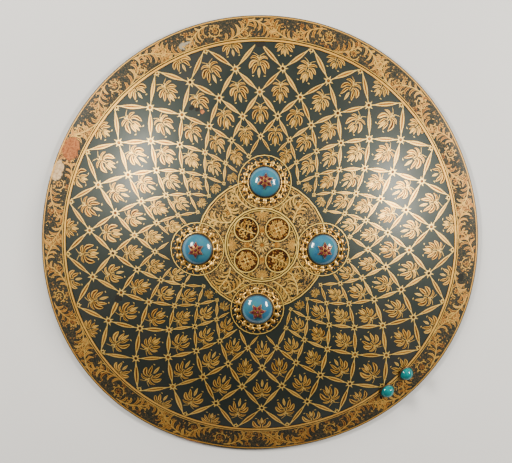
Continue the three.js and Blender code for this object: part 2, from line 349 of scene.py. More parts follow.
def lacquer_finish():
    f = Finish("lacquered hide")
    x, y, _ = f.axes(f.place())
    radius = (x * x + y * y) ** 0.5
    cloud = f.noise(16.0, 4.0)
    fine = f.noise(420.0, 2.0)
    ground = f.ramp(
        cloud,
        (0.30, (0.0060, 0.0100, 0.0090)),
        (0.52, (0.0110, 0.0140, 0.0120)),
        (0.75, (0.0190, 0.0170, 0.0165)),
    )
    foliage = filigree(f) * (0.70 + f.noise(150.0, 2.0) * 0.5)
    scroll_ground = f.ramp(
        foliage,
        (0.15, (0.004, 0.005, 0.003)),
        (0.60, (0.018, 0.012, 0.005)),
        (1.0, (0.085, 0.048, 0.014)),
    )
    middle_ground = f.ramp(
        foliage,
        (0.15, (0.008, 0.006, 0.002)),
        (0.55, (0.090, 0.047, 0.012)),
        (1.0, (0.340, 0.195, 0.052)),
    )
    edge_wobble = (f.noise(60.0) - 0.5) * 0.002
    in_border = (radius + edge_wobble).step(BORDER_INNER - 0.0002, BORDER_INNER + 0.0006)
    in_middle = 1 - (radius + edge_wobble).step(MEDALLION - 0.0006, MEDALLION + 0.0006)
    colour = f.blend(in_border * 0.9, ground, scroll_ground)
    colour = f.blend(in_middle * 0.9, colour, middle_ground)
    chip, bared, loss, scuff = (wear_mask(f, kind) for kind in ("chip", "bared", "loss", "scuff"))
    colour = f.blend(scuff * 0.60, colour, (0.36, 0.31, 0.22))
    bared_tone = f.ramp(fine, (0.35, (0.20, 0.050, 0.012)), (0.65, (0.42, 0.145, 0.040)))
    colour = f.blend(bared, colour, bared_tone)
    colour = f.blend(chip, colour, (0.008, 0.005, 0.004))
    loss_tone = f.ramp(fine, (0.3, (0.34, 0.20, 0.09)), (0.7, (0.66, 0.47, 0.27)))
    colour = f.blend(loss, colour, loss_tone)
    painted = f.attribute("painted")
    grain = f.cell_edges(420.0)
    inside = f.ramp(f.noise(24.0, 5.0), (0.3, (0.050, 0.026, 0.015)), (0.7, (0.115, 0.060, 0.034)))
    colour = f.blend(painted, inside, colour)
    worn = (chip + bared + loss + scuff).least(1.0)
    polish = 0.44 + f.noise(38.0) * 0.14 + (worn + in_border * 0.7).least(1.0) * 0.3
    roughness = painted * polish + (1 - painted) * 0.62
    relief = f.noise(55.0, 3.0) * 0.5 + fine * 0.06 - chip * 0.8 - loss * 0.9 - bared * 0.6
    inner_relief = grain.least(0.12) * 3.0
    height = painted * relief + (1 - painted) * inner_relief
    return f.set(
        Base_Color=colour,
        Roughness=roughness,
        Coat_Weight=painted * (1 - (worn + in_border * 0.8).least(1.0)) * 0.20,
        Coat_Roughness=0.26,
        Specular_IOR_Level=0.44,
        Specular_Tint=(0.84, 1.0, 0.94),
        Normal=f.bump(height, 0.35, 0.0006),
    )


def shaded(steps, shade):
    """Ramp stops with each colour multiplied by a shade."""
    return [(at, tuple(c * part for c, part in zip(colour, shade))) for at, colour in steps]


def gold_paint_finish(name, shade=(1, 1, 1), metallic=0.66, dullness=0.34):
    """Gold paint: pale at the edge of a stroke and orange-brown where it is thin."""
    f = Finish(name)
    tone = f.attribute("tone")
    mottle = f.noise(700.0, 2.0) - 0.5
    drift = f.noise(22.0, 3.0) - 0.5
    steps = (
        (0.02, (0.016, 0.007, 0.002)),
        (0.16, (0.150, 0.044, 0.008)),
        (0.38, (0.460, 0.185, 0.029)),
        (0.64, (0.800, 0.418, 0.076)),
        (0.92, (0.965, 0.665, 0.168)),
    )
    return f.set(
        Base_Color=f.ramp(tone + mottle * 0.5 + drift * 0.35, *shaded(steps, shade)),
        Metallic=metallic,
        Roughness=f.noise(300.0) * 0.2 + dullness,
        Normal=f.bump(f.noise(1500.0, 2.0), 0.15, 0.0002),
    )


def gilt_finish(name, shade=(1, 1, 1)):
    f = Finish(name)
    steps = (
        (0.32, (0.220, 0.080, 0.018)),
        (0.46, (0.640, 0.355, 0.075)),
        (0.70, (0.880, 0.610, 0.165)),
    )
    return f.set(
        Base_Color=f.ramp(f.noise(260.0, 3.0), *shaded(steps, shade)),
        Metallic=0.80,
        Roughness=0.32 + f.noise(500.0) * 0.22,
        Normal=f.bump(f.noise(900.0), 0.25, 0.0003),
    )


def dark_metal_finish():
    f = Finish("tarnished metal")
    tarnish = f.noise(300.0, 4.0)
    colour = f.ramp(tarnish, (0.35, (0.030, 0.020, 0.013)), (0.7, (0.190, 0.115, 0.050)))
    return f.set(
        Base_Color=colour,
        Metallic=0.75,
        Roughness=0.38 + f.noise(450.0) * 0.25,
        Normal=f.bump(f.noise(800.0), 0.3, 0.0003),
    )


def enamel_finish():
    f = Finish("blue enamel")
    glaze = f.ramp(
        f.noise(85.0, 3.0),
        (0.30, (0.022, 0.095, 0.200)),
        (0.50, (0.027, 0.120, 0.195)),
        (0.70, (0.030, 0.142, 0.180)),
    )
    # Painted shade: the edge attribute darkens the cap towards its rim, as shade under the collar
    # and dark reflection on the steep enamel; it also darkens the bare shank.
    edge = f.attribute("edge")
    colour = f.blend(edge, glaze, (0.014, 0.013, 0.010))
    return f.set(
        Base_Color=colour,
        Roughness=0.10 + f.noise(600.0) * 0.05 + edge * 0.35,
        Coat_Weight=0.3 * (1 - edge),
        Coat_Roughness=0.04,
        Normal=f.bump(f.noise(120.0), 0.10, 0.0004),
    )


def ruby_finish():
    f = Finish("ruby")
    colour = f.ramp(f.noise(420.0), (0.3, (0.026, 0.003, 0.007)), (0.7, (0.150, 0.018, 0.030)))
    return f.set(Base_Color=colour, Roughness=0.08 + f.noise(500.0) * 0.04, Coat_Weight=0.5)


def turquoise_finish():
    f = Finish("turquoise")
    colour = f.ramp(f.noise(230.0, 4.0), (0.3, (0.001, 0.095, 0.110)), (0.7, (0.005, 0.190, 0.195)))
    return f.set(
        Base_Color=colour,
        Roughness=0.08 + f.noise(300.0) * 0.05,
        Normal=f.bump(f.noise(260.0), 0.12, 0.0003),
    )


def grip_finish():
    f = Finish("grip leather")
    grain = f.cell_edges(900.0)
    worn = f.noise(60.0, 4.0)
    colour = f.ramp(worn, (0.3, (0.060, 0.024, 0.012)), (0.7, (0.210, 0.095, 0.045)))
    return f.set(
        Base_Color=colour,
        Roughness=0.55 + worn * 0.2,
        Normal=f.bump(grain.least(0.1) * 4.0 + worn * 0.3, 0.4, 0.0004),
    )


# ---- mesh helpers ----
def deselect():
    for piece in bpy.context.scene.objects:
        piece.select_set(False)
    bpy.context.view_layer.objects.active = None


def make_piece(name, points, faces, finish):
    mesh = bpy.data.meshes.new(name)
    mesh.from_pydata([tuple(p) for p in points], [], faces)
    mesh.validate()
    piece = bpy.data.objects.new(name, mesh)
    bpy.context.scene.collection.objects.link(piece)
    mesh.materials.append(finish)
    mesh.polygons.foreach_set("use_smooth", [True] * len(mesh.polygons))
    mesh.update()
    return piece


def turned(name, profile, steps, finish):
    """Spins a profile of (radius, height), from axis to axis or closed, about Z."""
    deselect()
    points = [(r, 0, h) for r, h in profile]
    closed = profile[0] == profile[-1]
    if closed:
        points = points[:-1]
    edges = [(i, i + 1) for i in range(len(points) - 1)]
    if closed:
        edges.append((len(points) - 1, 0))
    mesh = bpy.data.meshes.new(name)
    mesh.from_pydata(points, edges, [])
    piece = bpy.data.objects.new(name, mesh)
    bpy.context.scene.collection.objects.link(piece)
    bpy.context.view_layer.objects.active = piece
    piece.select_set(True)
    bpy.ops.object.mode_set(mode="EDIT")
    bpy.ops.mesh.select_all(action="SELECT")
    bpy.ops.mesh.spin(steps=steps, angle=TAU, center=(0, 0, 0), axis=(0, 0, 1))
    bpy.ops.mesh.select_all(action="SELECT")
    bpy.ops.mesh.remove_doubles(threshold=1e-6)
    bpy.ops.mesh.normals_make_consistent(inside=False)
    bpy.ops.object.mode_set(mode="OBJECT")
    bpy.ops.object.shade_smooth_by_angle(angle=math.radians(35))
    piece.data.materials.append(finish)
    piece.select_set(False)
    return piece


def stand(piece, matrix):
    piece.data.transform(matrix)
    piece.data.update()
    return piece


def joined(name, pieces):
    deselect()
    for piece in pieces:
        piece.select_set(True)
    bpy.context.view_layer.objects.active = pieces[0]
    bpy.ops.object.join()
    pieces[0].name = name
    pieces[0].data.name = name
    pieces[0].select_set(False)
    return pieces[0]


def show(piece, slot, *replaced):
    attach(piece, "root")
    for node in replaced:
        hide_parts(node)
    return piece


# ---- the hide ----
def make_hide(finish):
    outer = [(RIM * i / 64, float(face_height(RIM * i / 64))) for i in range(65)]
    rounding = [
        (RIM - LIP_ROUND + LIP_ROUND * math.cos(a), LIP_ROUND + LIP_ROUND * math.sin(a))
        for a in np.linspace(0, -math.pi / 2, 5)
    ]
    foot_inner = RIM - LIP_ROUND - FOOT
    inner = []
    for i in range(40, -1, -1):
        r = foot_inner * i / 40
        slope = float(face_slope(r))
        length = math.hypot(slope, 1)
        inner.append((r - HIDE * slope / length, float(face_height(r)) - HIDE / length))
    profile = outer + rounding + [(foot_inner, 0.0)] + inner
    profile[0] = (0.0, profile[0][1])
    profile[-1] = (0.0, profile[-1][1])
    hide = turned("painted_hide", profile, 240, finish)
    mesh = hide.data
    points = np.array([v.co for v in mesh.vertices])
    r = np.hypot(points[:, 0], points[:, 1])
    painted = (points[:, 2] > face_height(r) - HIDE * 0.5) | (r > RIM - LIP_ROUND * 1.5)
    points = warped(points)
    mesh.vertices.foreach_set("co", points.ravel())
    attribute = mesh.attributes.new("painted", "FLOAT", "POINT")
    attribute.data.foreach_set("value", painted.astype(float))
    mesh.update()
    return show(hide, "lacquered_hide", "hide_shell")


# ---- gold painting: closed ribbons of paint laid on the face ----
LIFT = 0.00013
RIDGE = 0.00007  # most that the middle of a stroke stands above its edges
DARK = -0.4  # tone of bare lacquer
UMBER = 0.13  # tone of thin brown paint
BACKING = 0.0018  # dark outline round a plume or scroll
PRESS = 0.0030  # how gently the border's painting is pressed in from its edges
PLUME_LOBES = 6


class Painting:
    """Collects strokes in plan and lays them all on the face as one mesh."""

    def __init__(self, name):
        self.name = name
        self.plan, self.lift, self.tone, self.faces = [], [], [], []

    def add(self, plan, lift, tone, faces):
        start = len(self.lift)
        self.plan.extend(plan)
        self.lift.extend(lift)
        self.tone.extend(tone)
        self.faces.extend(tuple(start + i for i in face) for face in faces)

    def stroke(self, line, width, tone, vein, lift=LIFT, closed=False):
        """A ribbon along points, as wide at each as width says; its middle has the vein's tone."""
        line = np.asarray(line, float)
        width = np.broadcast_to(np.asarray(width, float), len(line))
        vein = np.broadcast_to(np.asarray(vein, float), len(line))
        lost = np.flatnonzero(worn_off(line))
        if not closed and len(lost):
            before = lost[0] > len(line) - 1 - lost[-1]
            left = slice(0, lost[0]) if before else slice(lost[-1] + 1, None)
            line, width, vein = line[left], width[left], vein[left]
            if len(line) < 3:
                return
        if closed:
            run = np.roll(line, -1, 0) - np.roll(line, 1, 0)
        else:
            run = np.gradient(line, axis=0)
        run /= np.maximum(np.hypot(run[:, 0], run[:, 1]), 1e-12)[:, None]
        side = np.column_stack([-run[:, 1], run[:, 0]]) * (width / 2)[:, None]
        count = len(line)
        lift += rng.uniform(0, LIFT * 0.2)
        ridge = np.zeros(count) if tone < 0.2 else np.minimum(RIDGE, width * 0.035)
        plan, lifts, tones, faces, rows = [], [], [], [], []
        for i in range(count):
            if not closed and i in (0, count - 1) and width[i] < 1e-5:
                rows.append((len(plan),) * 3)
                plan.append(line[i])
                lifts.append(lift)
                tones.append(tone)
                continue
            rows.append((len(plan), len(plan) + 1, len(plan) + 2))
            plan += [line[i] + side[i], line[i], line[i] - side[i]]
            lifts += [lift, lift + ridge[i], lift]
            tones += [tone, vein[i], tone]
        last = count if closed else count - 1
        for i in range(last):
            a, b = rows[i], rows[(i + 1) % count]
            for j, k in ((0, 1), (1, 2), (2, 0)):
                face = [a[k], a[j], b[j], b[k]]
                unique = list(dict.fromkeys(face))
                if len(unique) > 2:
                    faces.append(tuple(unique))
        if not closed:
            for row, flip in ((rows[0], False), (rows[-1], True)):
                if row[0] != row[1]:
                    faces.append(row[::-1] if flip else row)
        self.add(plan, lifts, tones, faces)

    def ring(self, centre, radius, width, tone, steps=None, backing=0.0, lift=LIFT):
        steps = steps or max(24, int(radius / 0.0022))
        a = np.linspace(0, TAU, steps, endpoint=False)
        line = np.asarray(centre) + radius * np.column_stack([np.cos(a), np.sin(a)])
        if backing:
            self.stroke(line, width + backing, DARK, DARK, closed=True, lift=lift * 0.8)
        self.stroke(line, width, tone, tone, closed=True, lift=lift)

    def dot(self, centre, radius, tone, sides=6, lift=LIFT * 1.8):
        a = np.linspace(0, TAU, sides, endpoint=False)
        rim = np.asarray(centre) + radius * np.column_stack([np.cos(a), np.sin(a)])
        plan = [np.asarray(centre), *rim]
        faces = [(0, 1 + i, 1 + (i + 1) % sides) for i in range(sides)]
        faces.append(tuple(range(sides, 0, -1)))
        self.add(plan, [lift * 1.1] + [lift] * sides, [tone] * (sides + 1), faces)

    def keep_within(self, low, high):
        """Presses what has been painted into a ring, gently near its edges."""
        plan = np.array(self.plan)
        r = np.hypot(plan[:, 0], plan[:, 1])
        past_high = np.maximum(r - (high - PRESS), 0)
        past_low = np.maximum(low + PRESS - r, 0)
        held = np.clip(r, low + PRESS, high - PRESS)
        held += PRESS * (1 - np.exp(-past_high / PRESS)) - PRESS * (1 - np.exp(-past_low / PRESS))
        self.plan = list(plan * (held / r)[:, None])

    def finish(self, material):
        points = laid_on_face(np.array(self.plan), np.array(self.lift))
        piece = make_piece(self.name, points, self.faces, material)
        piece.data.set_sharp_from_angle(angle=math.radians(50))
        attribute = piece.data.attributes.new("tone", "FLOAT", "POINT")
        attribute.data.foreach_set("value", np.array(self.tone, float))
        return show(piece, "lacquered_hide")


def bezier(*knots, steps=6):
    """Points along a quadratic or cubic curve."""
    knots = [np.asarray(k, float) for k in knots]
    out = []
    for t in np.linspace(0, 1, steps + 1):
        line = knots
        while len(line) > 1:
            line = [a * (1 - t) + b * t for a, b in zip(line, line[1:])]
        out.append(line[0])
    return np.array(out)


def leaf_widths(count, widest, at=0.5):
    """Widths of a pointed leaf, widest at a share of its length."""
    t = np.linspace(0, 1, count)
    rise = np.where(t < at, t / at, (1 - t) / (1 - at))
    return widest * np.sin(rise * math.pi / 2) ** 0.95


def placed(points, centre, size, heading):
    """Motif points (sideways, forwards) turned so forwards runs along a heading, at a size."""
    a = math.radians(heading)
    forward = np.array((math.cos(a), math.sin(a)))
    side = np.array((forward[1], -forward[0]))
    points = np.atleast_2d(points)
    return centre + size[0] * points[:, :1] * side + size[1] * points[:, 1:] * forward


# ---- the lattice and its flowers ----
def node_angle(row, k):
    return LATTICE_TURN + STEP * (k + (row % 2) / 2)


def near_boss(point, reach):
    return any(math.dist(point, polar(*boss[:2])) < reach for boss in BOSSES.values())


def worn_off(line):
    """Which points of a line lie where the wear has taken the gold too."""
    worn = np.zeros(len(line), bool)
    for kind, angle, radius, half_length, half_width in WEAR:
        c, s = polar(1, angle)
        dx, dy = (line - polar(radius, angle)).T
        reach = np.hypot((dx * c + dy * s) / half_width, (dy * c - dx * s) / half_length)
        worn |= reach < (0.55 if kind == "scuff" else 0.85)
    return worn


def paint_bar(work, start, end):
    """One side of a cell: a spindle leaf with a dark core, drawn out to thin ends."""
    span = end - start
    length = math.hypot(*span)
    t = np.linspace(0.08, 0.92, 13)
    share = np.maximum(np.sin(np.linspace(0, math.pi, 13)) ** 1.45, 0.17)
    bend = rng.uniform(-0.014, 0.014)
    side = np.array((-span[1], span[0]))
    line = start + np.outer(t, span) + np.outer(np.sin(t * math.pi), side) * bend
    widest = min(0.0047, 0.135 * length) * rng.uniform(0.88, 1.08)
    core = np.where(share > 0.5, rng.uniform(-0.05, 0.30), 0.95)
    work.stroke(line, share * widest + 0.0008, UMBER, UMBER, lift=LIFT * 0.5)
    work.stroke(line, share * widest, 1.25, core)


def paint_node(work, centre, size):
    """A small flower with four long and four short rays where two curves cross."""
    turn = math.degrees(math.atan2(centre[1], centre[0])) + rng.uniform(-8, 8)
    for k in range(8):
        heading = turn + 45 * k
        reach = size * (1.15 if k % 2 else 1.60) * rng.uniform(0.92, 1.1)
        tip = centre + polar(reach, heading)
        foot = centre + polar(size * 0.50, heading)
        work.stroke([foot, (foot + tip) / 2, tip], [size * 0.42, size * 0.34, 0], 1.0, 0.75)
    work.ring(centre, size * 0.66, size * 0.34, 1.0, steps=12)
    work.dot(centre, size * 0.36, rng.uniform(0.0, 0.35))


# Petals of a spray, as (knots, width): sideways and forwards in half widths and half lengths.
IRIS = (
    (((0.05, -0.50), (0.25, -0.95), (0.70, -0.95), (0.98, -0.66)), 0.24),
    (((0.04, -0.38), (0.85, -0.70), (0.95, 0.10), (1.02, 0.22)), 0.40),
    (((0.06, -0.18), (0.55, -0.20), (0.50, 0.40), (0.70, 0.74)), 0.34),
)
TULIP = (
    (((0.05, -0.50), (0.45, -0.90), (0.80, -0.66), (1.02, -0.52)), 0.24),
    (((0.04, -0.42), (0.95, -0.45), (0.85, 0.25), (0.92, 0.56)), 0.42),
    (((0.08, -0.08), (0.40, 0.10), (0.26, 0.60), (0.44, 0.86)), 0.28),
)
LOTUS = (
    (((0.04, -0.55), (0.35, -0.92), (0.75, -0.90), (0.96, -0.74)), 0.22),
    (((0.05, -0.46), (0.78, -0.62), (0.86, -0.10), (1.06, -0.06)), 0.33),
    (((0.06, -0.24), (0.60, -0.22), (0.62, 0.32), (0.84, 0.46)), 0.32),
    (((0.07, 0.02), (0.30, 0.16), (0.22, 0.58), (0.40, 0.84)), 0.24),
)


def paint_spray(work, centre, size, heading, whole=True):
    """A flower: nested pairs of leaves round a dark eye, a tall tip, a stem and two tendrils."""
    design = rng.choice((IRIS, IRIS, TULIP, LOTUS))
    tone = rng.uniform(1.0, 1.3)
    lean = heading + rng.uniform(-6, 6)
    unit = math.sqrt(size[0] * size[1])

    def spot(*knots):
        return placed(np.array(knots), centre, size, lean)

    for knots, width in design:
        if not whole and knots[0][1] < -0.5:
            continue
        for side in (1, -1):
            jitter = np.array([(rng.uniform(-0.04, 0.04), rng.uniform(-0.04, 0.04)) for _ in knots])
            line = bezier(*(spot(*(np.array(knots) * (side, 1) + jitter))), steps=6)
            widths = leaf_widths(7, unit * width * rng.uniform(0.85, 1.08), at=0.5)
            widths[0] = unit * 0.05
            work.stroke(line, widths + unit * 0.09, UMBER, UMBER, lift=LIFT * 0.5)
            work.stroke(line, widths, tone * rng.uniform(0.95, 1.1), rng.uniform(-0.45, 0.20))
    bend, aside = rng.uniform(-0.04, 0.04), rng.uniform(-0.05, 0.05)
    tip = spot((0, 0.12), (bend, 0.6), (aside, rng.uniform(0.98, 1.14)))
    work.stroke(bezier(*tip, steps=5), leaf_widths(6, unit * 0.28, at=0.4), 1.15, 0.35)
    for side in (1, -1):
        speck = spot((side * 0.50, 0.92), (side * 0.62, 0.96), (side * 0.76, 0.90))
        work.stroke(bezier(*speck, steps=2), leaf_widths(3, unit * 0.11), 1.0, 0.9)
        heart = spot((side * 0.10, -0.48), (side * 0.16, -0.24), (side * 0.06, 0.02))
        work.stroke(bezier(*heart, steps=3), leaf_widths(4, unit * 0.09, at=0.5), 0.9, 0.7)
    if whole:
        stem = spot((0, -0.50), (0, -0.80))
        work.stroke(bezier(*stem, steps=2), [unit * 0.10, unit * 0.09, unit * 0.07], 0.95, 0.8)
        for side in (1, -1):
            knob = spot((side * 0.02, -0.72), (side * 0.16, -0.78), (side * 0.22, -0.96))
            work.stroke(bezier(*knob, steps=3), leaf_widths(4, unit * 0.15, at=0.5), 1.1, 0.5)
            thread = spot((side * 0.04, -0.92), (side * 0.30, -1.12), (side * 0.70, -1.28))
            work.stroke(bezier(*thread, steps=4), [unit * 0.045] * 4 + [0.0], 0.8, 0.8)


def paint_lattice():
    bars = Painting("painted_lattice")
    sprays = Painting("painted_sprays")
    bars.ring((0, 0), BORDER_INNER + 0.0003, 0.0022, 0.68, backing=0.0014, lift=LIFT * 2.2)
    bars.ring((0, 0), BORDER_INNER + 0.0031, 0.0007, 0.80, backing=0.0010, lift=LIFT * 2.2)
    for row, radius in enumerate(ROWS):
        width = radius * math.radians(STEP)
        for k in range(LATTICE_STARTS):
            angle = node_angle(row, k)
            centre = polar(radius, angle)
            if not near_boss(centre, CLEAR["node"]) and not worn_off(centre[None]).any():
                size = min(0.0039, width * 0.085) if row else 0.0027
                paint_node(bars, centre * (1 if row else 0.985), size)
            if row + 1 < len(ROWS):
                for side in (-1, 1):
                    end = polar(ROWS[row + 1], angle + side * STEP / 2)
                    start = centre
                    if near_boss(end, CLEAR["bar end"]):
                        end = start + (end - start) * 0.8
                    middle = (start + end) / 2
                    if not near_boss(middle, CLEAR["bar"]):
                        paint_bar(bars, start, end)
            cell = angle + STEP / 2
            outer = ROWS[row - 1] if row else BORDER_INNER
            inner = ROWS[row + 1] if row + 1 < len(ROWS) else MEDALLION
            if row == 0:
                size = (width * 0.172, (outer - inner) * 0.31)
                centre = polar(outer - size[1] * 0.72, cell)
                paint_spray(sprays, centre, size, cell + 180, whole=False)
                continue
            height = (outer - inner) / 2
            size = (width * (0.182 + 0.012 * row), height * (0.405 + 0.012 * row))
            centre = polar(radius + height * 0.04, cell)
            if row + 1 == len(ROWS):
                size = (width * 0.24, height * 0.34)
            if not near_boss(centre, CLEAR["spray"]):
                paint_spray(sprays, centre, size, cell + 180)
    return bars, sprays


# ---- the scroll border ----
def paint_plume(work, foot, tip, bend, width, tone):
    """An acanthus plume: a curved midrib with long curling lobes, on a dark backing."""
    span = tip - foot
    side = np.array((-span[1], span[0]))
    rib = bezier(foot, foot + span * 0.35 + side * bend, tip + side * bend * 0.5, tip, steps=14)
    wide = math.hypot(*span) / PLUME_LOBES * 0.44
    leaves = []
    for i in range(PLUME_LOBES):
        share = (i + 0.5) / (PLUME_LOBES + 0.3)
        root = rib[int(share * 14)]
        ahead = rib[min(int(share * 14) + 1, 14)] - root
        heading = math.degrees(math.atan2(ahead[1], ahead[0]))
        reach = width * (0.66 + 0.5 * math.sin(math.pi * (share * 0.8 + 0.12)))
        for hand in (1, -1):
            outer = reach * (1.3 if hand * bend < 0 else 0.85) * rng.uniform(0.88, 1.1)
            curl = ((0.5, 10), (0.85, 34), (1, 60))
            knots = [root + polar(outer * far, heading + hand * turn) for far, turn in curl]
            leaves.append(bezier(root, *knots, steps=5))
    leaves.append(bezier(rib[11], rib[14], rib[14] + (rib[14] - rib[11]) * 0.5, steps=5))
    for leaf in leaves:
        work.stroke(leaf, leaf_widths(6, wide + BACKING, at=0.6), DARK, DARK, lift=LIFT * 0.5)
    for leaf in leaves:
        edge, vein = tone * rng.uniform(0.85, 1.15), rng.uniform(-0.1, 0.6)
        work.stroke(leaf, leaf_widths(6, wide, at=0.6), edge, vein)
    work.stroke(rib, np.linspace(width * 0.16, width * 0.05, 15), tone, tone * 0.8, lift=LIFT * 1.3)


def paint_fan(work, centre, size, heading, lobes, spread, tone):
    """A palmette of long curling lobes from one foot."""
    for i in range(lobes):
        turn = spread * (2 * i / (lobes - 1) - 1)
        reach = size * (1 - 0.30 * abs(turn / spread) ** 1.5) * rng.uniform(0.92, 1.05)
        curl = turn * 1.45
        a = centre + polar(reach * 0.12, heading + turn)
        b = centre + polar(reach * 0.55, heading + turn * 0.7)
        c = centre + polar(reach, heading + curl * 0.75)
        widths = leaf_widths(6, size * 1.25 / lobes, at=0.62)
        work.stroke(bezier(a, b, c, steps=5), widths, tone, tone * 0.1)
    work.dot(centre, size * 0.13, tone)


def paint_rosette(work, centre, size, petals, tone, eye=0.2):
    turn = rng.uniform(0, 60)
    for i in range(petals):
        heading = turn + 360 * i / petals
        a, b = centre + polar(size * 0.25, heading), centre + polar(size, heading)
        widths = leaf_widths(4, size * 2.4 / petals, at=0.6)
        work.stroke(bezier(a, b, steps=3), widths, tone, tone * 0.6)
    work.dot(centre, size * 0.26, eye)


def paint_scroll(work, centre, radius, start, sweep, width):
    """A curling stem that winds in on itself, with small leaves on its outer side."""
    turns = np.linspace(0, 1, 15)
    shrink = radius * (1 - 0.45 * turns)
    a = np.radians(start + sweep * turns)
    line = centre + np.column_stack([np.cos(a), np.sin(a)]) * shrink[:, None]
    work.stroke(line, np.linspace(width, width * 0.5, 15) + BACKING, DARK, DARK, lift=LIFT * 0.5)
    work.stroke(line, np.linspace(width, width * 0.5, 15), 1.05, 0.95)
    for i in range(1, 14, 2):
        heading = math.degrees(a[i]) + math.copysign(38, sweep)
        curl = ((0.26, -15), (0.46, 8))
        knots = [line[i] + polar(radius * far, heading + turn) for far, turn in curl]
        work.stroke(bezier(line[i], *knots, steps=3), leaf_widths(4, width * 2.2), 1.05, 0.3)


def paint_leaflets(work, count, place, size, tones):
    """Short commas scattered where place() says."""
    for _ in range(count):
        spot = place()
        heading = rng.uniform(0, 360)
        reach = size * rng.uniform(0.7, 1.4)
        middle = spot + polar(reach * 0.5, heading + rng.choice((-28, 28)))
        end = spot + polar(reach, heading)
        tone = rng.uniform(*tones)
        line = bezier(spot, middle, end, steps=3)
        work.stroke(line, leaf_widths(4, size * 0.42), tone, tone * 0.6)


def paint_border():
    work = Painting("painted_border")
    middle = (BORDER_OUTER + BORDER_INNER) / 2
    depth = BORDER_OUTER - BORDER_INNER
    low, high = BORDER_INNER + 0.0034, BORDER_OUTER - 0.0020
    for k in range(2 * LATTICE_STARTS):
        angle = LATTICE_TURN + STEP * k / 2
        foot, top, hand = (low, high, 1) if k % 2 else (high, low, -1)
        at = angle + STEP / 4

        def in_unit():
            return polar(rng.uniform(low, high), at + rng.uniform(-0.26, 0.26) * STEP)

        paint_leaflets(work, 22, in_unit, 0.0026, (0.45, 1.05))
        centre = polar(middle + hand * 0.0030, at)
        paint_scroll(work, centre, depth * 0.27, at + 90 * hand, hand * 330, 0.0010)
        paint_rosette(work, centre, depth * 0.15, 7, rng.uniform(0.5, 1.0), rng.uniform(0.0, 0.3))
        beside = polar(middle - hand * 0.0080, at)
        paint_rosette(work, beside, depth * 0.12, 6, rng.uniform(0.4, 0.9))
        lean = STEP * rng.uniform(0.26, 0.36) * (1 if k % 4 < 2 else -1)
        tone = rng.uniform(0.80, 1.15)
        start, end = polar(foot, angle - lean * 0.6), polar(top - hand * 0.002, angle + lean)
        paint_plume(work, start, end, hand * 0.24 * math.copysign(1, lean), depth * 0.33, tone)
    work.keep_within(BORDER_INNER + 0.0010, BORDER_OUTER - 0.0002)
    work.ring((0, 0), BORDER_OUTER + 0.0006, 0.0012, 0.75)
    return work


# ---- the middle ----
def paint_middle():
    work = Painting("painted_middle")
    count = 20
    low, high = INNER_RING + 0.0018, MEDALLION - 0.0034
    for k in range(count):
        angle = 360 * k / count + 11
        hand = 1 if k % 2 else -1
        foot, top = (low, high) if k % 2 else (high, low)
        start, end = polar(foot, angle - 3), polar(top, angle + 6)
        if not near_boss((start + end) / 2, CLEAR["plume"]):
            paint_plume(work, start, end, 0.22 * hand, 0.0088, rng.uniform(0.85, 1.2))
        at = angle + 180 / count
        spot = polar((low + high) / 2 + hand * 0.004, at)
        if not near_boss(spot, CLEAR["scroll"]):
            paint_scroll(work, spot, 0.0050, at, hand * 320, 0.0009)
            paint_rosette(work, spot, 0.0027, 6, rng.uniform(0.6, 1.0))

        def in_unit():
            while True:
                spot = polar(rng.uniform(low, high), angle + rng.uniform(0, 360 / count))
                if not near_boss(spot, CLEAR["leaflet"]):
                    return spot

        paint_leaflets(work, 15, in_unit, 0.0024, (0.5, 1.1))
    for k in range(4):
        quarter = 90 * k
        paint_roundel(work, polar(ROUNDELS, quarter), quarter + 20, k % 2)
        between = quarter + 45
        paint_fan(work, polar(0.0125, between), 0.0095, between, 7, 34, 0.9)
        paint_fan(work, polar(0.0385, between), 0.0115, between + 180, 9, 70, 0.95)
        for side in (-1, 1):
            spot = polar(0.0362, between + side * 20)
            paint_scroll(work, spot, 0.0030, between, side * 300, 0.0007)
            paint_rosette(work, spot, 0.0016, 5, 0.8)

    def between_roundels():
        while True:
            spot = polar(rng.uniform(0.010, INNER_RING - 0.0032), rng.uniform(0, 360))
            if all(math.dist(spot, polar(ROUNDELS, 90 * k)) > ROUNDEL + 0.0010 for k in range(4)):
                return spot

    paint_leaflets(work, 190, between_roundels, 0.0019, (0.25, 0.85))
    paint_rosette(work, np.zeros(2), 0.0088, 12, 1.0, 0.3)
    work.ring((0, 0), MEDALLION, 0.0013, 1.0, backing=0.0014, lift=LIFT * 2.2)
    work.ring((0, 0), MEDALLION - 0.0026, 0.0006, 0.7, lift=LIFT * 2.2)
    work.ring((0, 0), INNER_RING, 0.0015, 1.15, backing=0.0016, lift=LIFT * 2.4)
    work.ring((0, 0), INNER_RING - 0.0024, 0.0008, 0.9, backing=0.0010, lift=LIFT * 2.2)
    return work


def paint_roundel(work, centre, heading, leafy):
    """A ringed roundel on the inner disc, with either a branch or a crossed flower."""
    work.dot(centre, 0.0132, 0.06, sides=32, lift=LIFT * 0.5)
    if leafy:
        foot, tip = centre + polar(0.0110, heading + 180), centre + polar(0.0108, heading)
        paint_plume(work, foot, tip, 0.12, 0.0058, 1.1)
        for side in (-1, 1):
            paint_rosette(work, centre + polar(0.0076, heading + side * 84), 0.0033, 6, 0.95)
    else:
        for k in range(4):
            out = heading + 90 * k
            paint_fan(work, centre + polar(0.0022, out), 0.0085, out, 5, 34, 1.05)
            paint_rosette(work, centre + polar(0.0080, out + 45), 0.0026, 6, 0.9)
        paint_rosette(work, centre, 0.0030, 6, 0.8)

    def inside():
        return centre + polar(0.0122 * math.sqrt(rng.random()), rng.uniform(0, 360))

    paint_leaflets(work, 70, inside, 0.0022, (0.35, 0.95))
    work.ring(centre, ROUNDEL, 0.0013, 1.2, backing=0.0014, lift=LIFT * 2.4)


